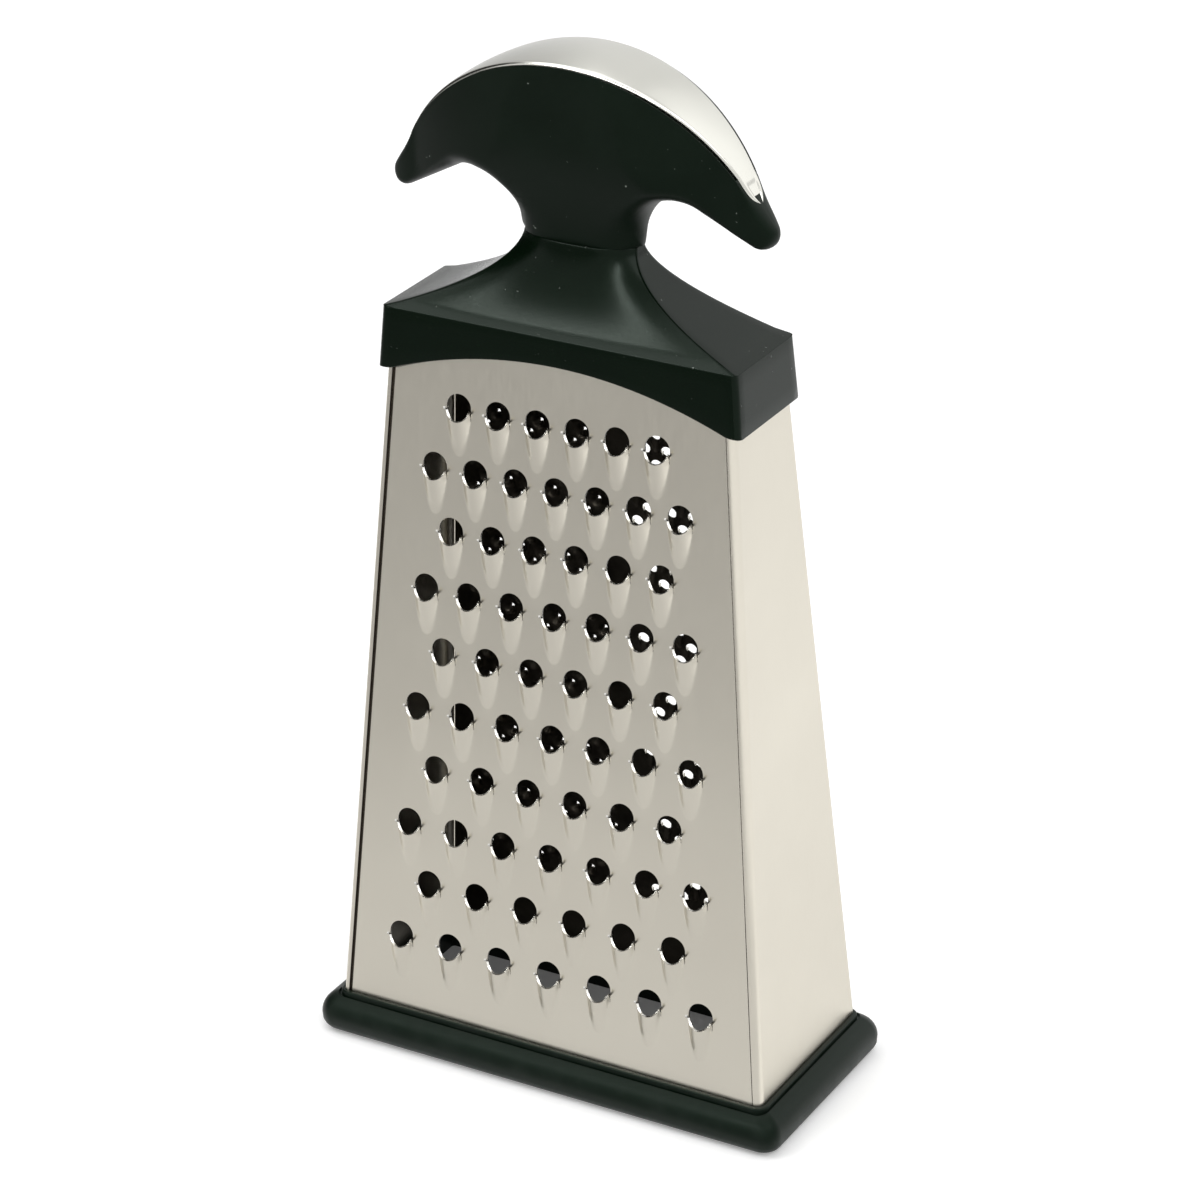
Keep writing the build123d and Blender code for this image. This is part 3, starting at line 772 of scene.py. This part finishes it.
def make_foot():
    """The ring from its outer underside over the bead, the moat and the lip to its inside."""
    loops = []
    steps = 10
    for turn in (-90, -75, -60, -45, -30, -15):
        angle = math.radians(turn)
        inset = RING_BOTTOM_ROUND * (1 - math.cos(angle))
        z = RING_BOTTOM_ROUND * (1 + math.sin(angle))
        half = [size - inset for size in RING_HALF]
        corner = max(RING_CORNER - inset / 2, RING_SHARPEST)
        loops.append(rounded_loop(half, corner, (z, z), steps))
    centre = RING_HEIGHT - RING_TOP_ROUND
    lip_outer = [size(RING_LIP_TOP) + FIT_GAP + RING_LIP for size in (half_width, half_depth)]
    ends = [full - lip - LIP_MOAT for full, lip in zip(RING_HALF, lip_outer)]
    for step in range(9):
        part = step / 8
        halves = []
        heights = []
        for full, end in zip(RING_HALF, ends):
            last = math.acos(1 - end / RING_TOP_ROUND)
            angle = last * part
            halves.append(full - RING_TOP_ROUND * (1 - math.cos(angle)))
            heights.append(centre + RING_TOP_ROUND * math.sin(angle))
        corner = max(RING_CORNER - (RING_HALF[0] - halves[0]) / 2, RING_SHARPEST)
        loops.append(rounded_loop(halves, corner, heights, steps))
    brim = heights
    for share in (0.75, 0.25):
        halves = [lip + LIP_MOAT * share for lip in lip_outer]
        moat = [z - LIP_MOAT_DEPTH for z in brim]
        loops.append(rounded_loop(halves, LIP_CORNER + 0.1, moat, steps))
    loops.append(rounded_loop(lip_outer, LIP_CORNER, [z - 0.1 for z in brim], steps))
    top = RING_LIP_TOP
    edge = (top - LIP_EDGE, top - LIP_EDGE)
    loops.append(rounded_loop(lip_outer, LIP_CORNER, edge, steps))
    crest = [half - LIP_EDGE for half in lip_outer]
    loops.append(rounded_loop(crest, LIP_CORNER - 0.2, (top, top), steps))
    inner = [half - RING_LIP + 0.1 for half in lip_outer]
    loops.append(rounded_loop(inner, LIP_CORNER - 0.9, (top, top), steps))
    inside = RING_GROOVE + RING_INNER_WALL
    levels = (
        (RING_FLOOR, -FIT_GAP), (RING_FLOOR, RING_GROOVE), (RING_INNER_TOP, RING_GROOVE),
        (RING_INNER_TOP, inside), (0.0, inside),
    )
    for z, inset in levels:
        halves = (half_width(z) - inset, half_depth(z) - inset)
        loops.append(rounded_loop(halves, 1.0, (z, z), steps))
    vertices = [point for loop in loops for point in loop]
    return add_piece("foot_bead", vertices, tube_faces(loops), ("foot_rubber",), "foot_ring")


# Cap

def bowed_loop(half, ridge, front, z):
    """Loop with four ridges at (half, ridge), its long sides bowed out to front."""
    points = []
    for step in range(LONG_FACETS):
        place = 2 * step / LONG_FACETS - 1
        rise = (front - ridge) * (1 - abs(place) ** 3)
        points.append((half * place, -ridge - rise, z))
    for step in range(SHORT_FACETS):
        place = 2 * step / SHORT_FACETS - 1
        points.append((half, ridge * place, z))
    return points + [(-x, -y, z) for x, y, z in points]


def flare_loop(z, inset=0.0):
    """Flare loop at z: from the neck it spreads by a power of the way down."""
    way = 1 - (z - SKIRT_TOP) / (FLARE_TOP - SKIRT_TOP)

    def spread(neck, reach, power):
        return neck + reach * way**power - inset

    half = spread(NECK_HALF_WIDTH, *FLARE_SPREAD)
    ridge = spread(NECK_RIDGE, *FLARE_DEPTH_SPREAD)
    front = spread(NECK_FRONT, *FLARE_FRONT_SPREAD)
    return bowed_loop(half, ridge, max(front, ridge), z)


def skirt_edge(x):
    """Height of the skirt's lower edge on the long sides: an arch."""
    return SKIRT_ARCH_TOP - SKIRT_ARCH_RADIUS + math.sqrt(SKIRT_ARCH_RADIUS**2 - x * x)


def skirt_loop(part, gap=None):
    """Skirt loop from its arched lower edge (0) to its top (1); gap gives the inside."""
    points = []
    top = SKIRT_TOP if gap is None else FACE_TOP + 0.5
    for x, y, _ in bowed_loop(1.0, 1.0, 1.0, 0.0):
        long_side = abs(y) > 0.999
        reach = SKIRT_BOTTOM_HALF[0] * x
        low = max(skirt_edge(reach), SKIRT_BOTTOM) if long_side else SKIRT_BOTTOM
        z = low + (top - low) * part
        share = (z - SKIRT_BOTTOM) / (SKIRT_TOP - SKIRT_BOTTOM)
        if gap is None:
            halves = [a + (b - a) * share for a, b in zip(SKIRT_BOTTOM_HALF, SKIRT_TOP_HALF)]
        else:
            halves = (half_width(z) + gap, half_depth(z) + gap)
        points.append((x * halves[0], y * halves[1], z))
    return points


def make_cap():
    """Skirt and flare outside, walls and roof inside, joined along the lower edge."""
    loops = [skirt_loop(part) for part in (0.0, 0.25, 0.5, 0.75, 1.0)]
    skirt_levels = len(loops)
    rise = FLARE_TOP - SKIRT_TOP
    loops += [flare_loop(SKIRT_TOP + rise * (step / 18)) for step in range(1, 19)]
    outer = len(loops)
    inner = [skirt_loop(part, FIT_GAP) for part in (0.0, 1.0)]
    room = FLARE_ROOF - SKIRT_TOP
    inner += [flare_loop(SKIRT_TOP + room * step / 4, FLARE_WALL) for step in range(5)]
    everything = loops + inner
    count = len(loops[0])
    vertices = [point for loop in everything for point in loop]
    faces = tube_faces(loops, closed=False)
    shifted = tube_faces(inner, closed=False)
    base = outer * count
    faces += [tuple(index + base for index in face) for face in shifted]
    for step in range(count):
        after = (step + 1) % count
        faces.append((step, after, base + after, base + step))
    faces.append(tuple(range((outer - 1) * count, outer * count)))
    faces.append(tuple(range((len(everything) - 1) * count, len(everything) * count)))
    piece = add_piece("cap_shell", vertices, faces, ("cap_plastic",), "top_cap", 50)
    soften_cap(piece, count, skirt_levels, outer)
    return piece


def soften_cap(piece, count, skirt_levels, outer):
    """Round the skirt's corners most, the flare's ridges less and the rims a little."""
    half_loop = LONG_FACETS + SHORT_FACETS
    ridges = {0, LONG_FACETS, half_loop, half_loop + LONG_FACETS}
    work = bmesh.new()
    work.from_mesh(piece.data)
    weight = work.edges.layers.float.new("bevel_weight_edge")
    for edge in work.edges:
        first, second = sorted(vertex.index for vertex in edge.verts)
        level, place = divmod(first, count)
        same_column = (second - first) % count == 0
        if level >= outer:
            continue
        if same_column and place in ridges:
            edge[weight] = 1.0 if level < skirt_levels - 1 else FLARE_ROUND_SHARE
        elif second // count == level and level in (0, skirt_levels - 1, outer - 1):
            edge[weight] = RIM_ROUND_SHARE
    work.to_mesh(piece.data)
    work.free()
    bevel = piece.modifiers.new("rounds", "BEVEL")
    bevel.limit_method = "WEIGHT"
    bevel.width = RIDGE_ROUND * MM
    bevel.segments = 4
    mesh = bake(piece)
    mesh.polygons.foreach_set("use_smooth", [True] * len(mesh.polygons))
    mesh.set_sharp_from_angle(angle=math.radians(SHARP_FROM))


# Grip

def grip_outline():
    """Edge of the grip's right half from the end of the seam to the neck's foot.

    Also gives the turn at which the seam's arc ends, where a straight run goes on to the
    horn's tip without a corner.
    """
    tip = Vector(HORN_TIP)
    centre = Vector((0.0, SEAM_TOP - SEAM_RADIUS))
    reach = tip - centre
    start = math.atan2(reach.y, reach.x)
    start += math.acos(min((SEAM_RADIUS - HORN_RADIUS) / reach.length, 1.0))
    fall = math.radians(UNDERSIDE_SLOPE)

    def arc(middle, radius, first, last, steps):
        turns = [first + (last - first) * step / steps for step in range(steps + 1)]
        return [middle + radius * Vector((math.cos(turn), math.sin(turn))) for turn in turns]

    def run(first, last, steps):
        return [first.lerp(last, step / steps) for step in range(1, steps)]

    seam_end = arc(centre, SEAM_RADIUS, start, start, 1)[0]
    horn = arc(tip, HORN_RADIUS, start, -math.pi / 2 - fall, 16)
    arch = arc(Vector(FINGER_ARCH), FINGER_ARCH_RADIUS, math.pi / 2 - fall, math.pi, 20)
    foot = Vector((arch[-1].x - NECK_FLARE, FLARE_TOP))
    points = [seam_end, *run(seam_end, horn[0], 6), *horn, *run(horn[-1], arch[0], 7), *arch]
    return points + run(arch[-1], foot, 4) + [foot], start


def grip_plan(x):
    """Half breadth of the grip at x, seen from above: a lens with blunt ends."""
    if abs(x) >= HORN_END:
        return 0.0
    lens = GRIP_HALF_DEPTH * (1 - (x / GRIP_LENGTH) ** 2) ** GRIP_PLAN_POWER
    blunt = HORN_HALF_DEPTH * math.sqrt(1 - (abs(x) / HORN_END) ** HORN_END_POWER)
    return max(lens, blunt)


def edge_place(points, x, z):
    """Distance from a point to the open edge, and how far along the edge that is."""
    best = (1e9, 0.0)
    passed = 0.0
    for first, last in zip(points, points[1:]):
        run = last - first
        share = min(max((Vector((x, z)) - first).dot(run) / run.length_squared, 0.0), 1.0)
        distance = (Vector((x, z)) - first - run * share).length
        if distance < best[0]:
            best = (distance, passed + run.length * share)
        passed += run.length
    return best


def grip_depth(edge, x, z):
    """Half the grip's depth: its plan, its waist at the neck, and its rounded edges."""
    open_out = smoothstep((z - WAIST_SPAN[0]) / (WAIST_SPAN[1] - WAIST_SPAN[0]))
    waist = GRIP_WAIST + (GRIP_HALF_DEPTH - GRIP_WAIST) * open_out
    pillow = GRIP_PILLOW * max(1 - ((z - PILLOW_MIDDLE) / PILLOW_REACH) ** 2, 0.0)
    full = min(grip_plan(x) * (1 + pillow), waist)
    horn = smoothstep((abs(x) - HORN_SPAN[0]) / (HORN_SPAN[1] - HORN_SPAN[0]))
    neck = 1 - smoothstep((z - NECK_SPAN[0]) / (NECK_SPAN[1] - NECK_SPAN[0]))
    radius = HORN_ROUND * horn + (GRIP_ROUND + NECK_ROUND * neck) * (1 - horn)
    distance, along = edge_place(edge, abs(x), z)
    radius *= smoothstep(along / HORN_RUN_IN)
    share = min((distance + 0.02) / (radius + 0.02), 1.0)
    return full * max(1 - (1 - share) ** 2.2, 0.0) ** 0.5


def make_grip():
    """Front and back skins over one grid, fanned from the seam to the lower edge."""
    edge, start = grip_outline()
    centre = SEAM_TOP - SEAM_RADIUS
    foot = [Vector((edge[-1].x * step / 6, FLARE_TOP)) for step in range(5, -1, -1)]
    low_points = edge + foot
    last = len(low_points) - 1
    rows = 24
    columns = []
    for number, low in enumerate(low_points):
        turn = start + (math.pi / 2 - start) * (number / last) ** 1.15
        direction = Vector((math.cos(turn), math.sin(turn)))
        high = Vector((0.0, centre)) + SEAM_RADIUS * direction
        column = []
        for row in range(rows + 1):
            spot = high.lerp(low, 1 - (1 - row / rows) ** 1.7)
            column.append((spot.x, grip_depth(edge, spot.x, spot.y), spot.y))
        ledge = max(column[0][1] - SEAM_LEDGE, 0.0)
        sunk = high - SEAM_DROP * direction
        columns.append([(sunk.x, ledge, sunk.y), (high.x, ledge, high.y), *column])
    left = [[(-x, y, z) for x, y, z in column] for column in reversed(columns[:-1])]
    grid = columns + left
    vertices = [(x, side * y, z) for side in (-1, 1) for column in grid for x, y, z in column]
    length = rows + 3
    span = len(grid) * length
    faces = []
    for step in range(len(grid) - 1):
        for row in range(length - 1):
            first = step * length + row
            quad = (first, first + 1, first + length + 1, first + length)
            faces += [quad, tuple(span + index for index in quad)]
        for row in (0, length - 1):
            first = step * length + row
            faces.append((first, first + length, span + first + length, span + first))
    for first in (0, (len(grid) - 1) * length):
        for row in range(length - 1):
            step = first + row
            faces.append((step, step + 1, span + step + 1, span + step))
    return add_piece("grip_body", vertices, faces, ("grip_rubber",), "handle_grip", 50)


# Inlay

def inlay_reach(x):
    """Half breadth of the inlay: the grip's less the seam, rounded off at its ends."""
    share = min(abs(x) / INLAY_LENGTH, 1.0)
    return max((grip_plan(x) - SEAM_LEDGE - SEAM_GAP) * math.sqrt(1 - share**40), 0.06)


def inlay_section(x):
    """Half section (y, rise) from the hidden foot over the rounded edge to the middle."""
    reach = inlay_reach(x)
    edge = min(INLAY_EDGE, 0.4 * reach)
    points = [(reach, -INLAY_FOOT)]
    for step in range(8):
        turn = math.pi / 2 * step / 7
        points.append((reach - edge * (1 - math.cos(turn)), -edge * (1 - math.sin(turn))))
    inner = reach - edge
    dish = INLAY_DISH * smoothstep((abs(x) - DISH_FROM) / DISH_RUN)
    for step in range(11, -1, -1):
        share = step / 12
        points.append((inner * share, -dish * (1 - smoothstep((share - 0.6) / 0.3))))
    return [(y, rise - CREST_CROWN * (y / GRIP_HALF_DEPTH) ** 2) for y, rise in points]


def make_inlay():
    """The section swept along the crest, its stations closer towards both ends."""
    centre = CREST_TOP - CREST_RADIUS
    widest = math.asin((INLAY_LENGTH - 0.02) / CREST_RADIUS)
    vertices = []
    for station in range(INLAY_STATIONS + 1):
        turn = widest * math.sin(math.pi / 2 * (2 * station / INLAY_STATIONS - 1))
        half = inlay_section(CREST_RADIUS * math.sin(turn))
        for y, rise in half + [(-y, rise) for y, rise in reversed(half[:-1])]:
            radius = CREST_RADIUS + rise
            vertices.append((radius * math.sin(turn), y, centre + radius * math.cos(turn)))
    length = len(vertices) // (INLAY_STATIONS + 1)
    faces = []
    for station in range(INLAY_STATIONS):
        for step in range(length):
            first = station * length + step
            after = station * length + (step + 1) % length
            faces.append((first, after, after + length, first + length))
    for first in (0, INLAY_STATIONS * length):
        faces.append(tuple(range(first, first + length)))
    return add_piece("inlay_strip", vertices, faces, ("polished_trim",), "handle_trim", 40)


# Stage

def place_camera():
    """The photograph's camera: it looks along -back from CAMERA_AT."""
    azimuth = math.radians(CAMERA_AZIMUTH)
    elevation = math.radians(CAMERA_ELEVATION)
    roll = math.radians(CAMERA_ROLL)
    back = Vector((
        math.sin(azimuth) * math.cos(elevation),
        -math.cos(azimuth) * math.cos(elevation),
        math.sin(elevation),
    ))
    level = Vector((math.cos(azimuth), math.sin(azimuth), 0))
    upright = back.cross(level)
    right = level * math.cos(roll) + upright * math.sin(roll)
    up = upright * math.cos(roll) - level * math.sin(roll)
    data = bpy.data.cameras.new("camera")
    data.sensor_width = 36.0
    data.lens = CAMERA_LENS
    data.clip_end = 20.0
    camera = bpy.data.objects.new("camera", data)
    turned = Matrix((right, up, back)).transposed().to_4x4()
    camera.matrix_world = Matrix.Translation(Vector(CAMERA_AT) * MM) @ turned
    bpy.context.collection.objects.link(camera)
    bpy.context.scene.camera = camera


def add_lamp(name, place, aim, size, power):
    data = bpy.data.lights.new(name, "AREA")
    data.shape = "RECTANGLE"
    data.size, data.size_y = size
    data.energy = power
    lamp = bpy.data.objects.new(name, data)
    lamp.location = place
    lamp.rotation_euler = (Vector(aim) - Vector(place)).to_track_quat("-Z", "Y").to_euler()
    bpy.context.collection.objects.link(lamp)


def make_floor():
    """Pale paper floor that keeps the object's shadow, darker inside the foot ring as painted
    shade.
    """
    corners = [(x, y, 0) for y in FLOOR_LINES[1] for x in FLOOR_LINES[0]]
    firsts = [4 * row + column for row in range(3) for column in range(3)]
    faces = [(first, first + 1, first + 5, first + 4) for first in firsts]
    mesh = bpy.data.meshes.new("floor")
    mesh.from_pydata(corners, [], faces)
    floor = bpy.data.objects.new("floor", mesh)
    bpy.context.collection.objects.link(floor)
    for name, tone, glow in FLOOR_LOOKS:
        look = Look(name, (tone, tone, tone), 0.9)
        look.bump(look.noise(500), 0.02)
        look.shader.inputs["Emission Color"].default_value = (1.0, 1.0, 1.0, 1.0)
        look.shader.inputs["Emission Strength"].default_value = glow
        mesh.materials.append(look.material)
    # The middle face takes the darker inner look: painted shade on the floor under the object.
    middle = len(faces) // 2
    mesh.polygons[middle].material_index = 1


def add_card(name, vertices, faces, axis, tones):
    """Grey studio card that only reflections see, shaded along one axis.

    tones lists (place in metres along the axis, brightness), low to high.
    """
    mesh = bpy.data.meshes.new(name)
    mesh.from_pydata(vertices, [], faces)
    card = bpy.data.objects.new(name, mesh)
    bpy.context.collection.objects.link(card)
    material = bpy.data.materials.new(name)
    material.use_nodes = True
    nodes = material.node_tree.nodes
    links = material.node_tree.links
    nodes.clear()
    along = nodes.new("ShaderNodeVectorMath")
    along.operation = "DOT_PRODUCT"
    along.inputs[1].default_value = axis
    links.new(nodes.new("ShaderNodeTexCoord").outputs["Object"], along.inputs[0])
    place = nodes.new("ShaderNodeMapRange")
    place.inputs["From Min"].default_value = tones[0][0]
    place.inputs["From Max"].default_value = tones[-1][0]
    links.new(along.outputs["Value"], place.inputs["Value"])
    ramp = nodes.new("ShaderNodeValToRGB")
    ramp.color_ramp.interpolation = "EASE"
    while len(ramp.color_ramp.elements) < len(tones):
        ramp.color_ramp.elements.new(0.5)
    for element, (at, tone) in zip(ramp.color_ramp.elements, tones):
        element.position = (at - tones[0][0]) / (tones[-1][0] - tones[0][0])
        element.color = (tone, tone, tone, 1.0)
    links.new(place.outputs["Result"], ramp.inputs["Fac"])
    glow = nodes.new("ShaderNodeEmission")
    links.new(ramp.outputs["Color"], glow.inputs["Color"])
    output = nodes.new("ShaderNodeOutputMaterial")
    links.new(glow.outputs["Emission"], output.inputs["Surface"])
    mesh.materials.append(material)
    card.visible_camera = False
    card.visible_diffuse = False
    card.visible_shadow = False


def curved_card(radius, turns, heights, steps=24):
    """Points and faces of an upright card bent round the object."""
    points = []
    for step in range(steps + 1):
        turn = math.radians(turns[0] + (turns[1] - turns[0]) * step / steps)
        points += [(radius * math.cos(turn), radius * math.sin(turn), z) for z in heights]
    faces = [(2 * step, 2 * step + 1, 2 * step + 3, 2 * step + 2) for step in range(steps)]
    return points, faces


def hang_cards():
    """The floor card, then the upright ones round the object."""
    corners = [(x, y, FLOOR_CARD_LIFT) for x, y in FLOOR_CARD]
    add_card("floor_card", corners, [(0, 1, 2, 3)], FLOOR_CARD_AWAY, FLOOR_CARD_TONES)
    for name, radius, turns, heights, axis, tones in CARDS:
        add_card(name, *curved_card(radius, turns, heights), axis, tones)


def light_world():
    """White surroundings: full white where seen or mirrored, softer as plain light."""
    world = bpy.data.worlds.new("studio")
    world.use_nodes = True
    bpy.context.scene.world = world
    nodes = world.node_tree.nodes
    links = world.node_tree.links
    backdrop = nodes["Background"]
    backdrop.inputs["Color"].default_value = (1.0, 1.0, 1.0, 1.0)
    backdrop.inputs["Strength"].default_value = 1.0
    fill = nodes.new("ShaderNodeBackground")
    fill.inputs["Color"].default_value = (1.0, 1.0, 1.0, 1.0)
    fill.inputs["Strength"].default_value = FILL
    rays = nodes.new("ShaderNodeLightPath")
    seen = nodes.new("ShaderNodeMath")
    seen.operation = "MAXIMUM"
    links.new(rays.outputs["Is Camera Ray"], seen.inputs[0])
    links.new(rays.outputs["Is Glossy Ray"], seen.inputs[1])
    either = nodes.new("ShaderNodeMath")
    either.operation = "MAXIMUM"
    links.new(seen.outputs["Value"], either.inputs[0])
    links.new(rays.outputs["Is Transmission Ray"], either.inputs[1])
    mix = nodes.new("ShaderNodeMixShader")
    links.new(either.outputs["Value"], mix.inputs["Fac"])
    links.new(fill.outputs["Background"], mix.inputs[1])
    links.new(backdrop.outputs["Background"], mix.inputs[2])
    links.new(mix.outputs["Shader"], nodes["World Output"].inputs["Surface"])


for node, obj in frame["nodes"].items():
    for slot in obj.material_slots:
        slot.material = LOOKS[NODE_LOOKS[node]]

make_front()
make_back()
make_foot()
make_cap()
make_grip()
make_inlay()

place_camera()
make_floor()
light_world()
hang_cards()
for lamp in LAMPS:
    add_lamp(*lamp)
bpy.context.scene.view_settings.view_transform = "Standard"
